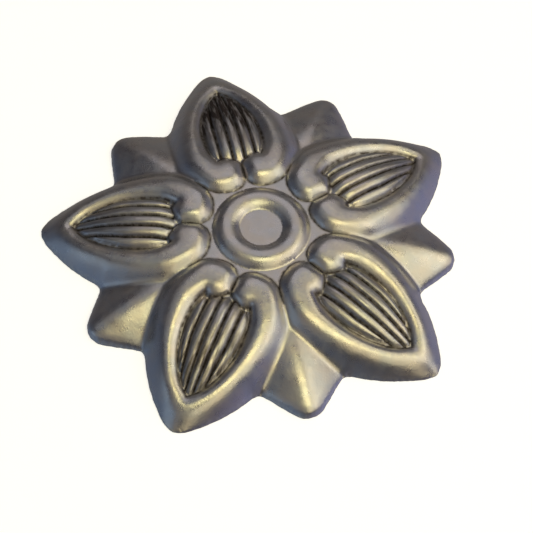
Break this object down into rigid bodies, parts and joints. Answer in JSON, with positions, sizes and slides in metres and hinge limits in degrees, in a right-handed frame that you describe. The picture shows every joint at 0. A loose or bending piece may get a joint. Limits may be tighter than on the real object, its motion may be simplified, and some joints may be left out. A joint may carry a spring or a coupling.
{
  "type": "trunk rosette",
  "caption": "Round pressed-steel rosette with ribbed leaf petals over roof-shaped points, a flat centre disc in a rounded ring, a flat back rim and an open hollow back.",
  "frame": {"origin": "middle of the box on the plane of the flat back rim; the rosette's own axis is 1.85 mm from it towards -Y", "axes": "+Z out of the decorated face, +Y along one petal"},
  "size_m": [0.0604, 0.0598, 0.0064],
  "materials": {
    "steel": "satin brown-grey steel, darker speckled patina between the ribs, worn bright on the rims"
  },
  "bodies": {
    "root": {"rosette": "steel"}
  },
  "joints": []
}
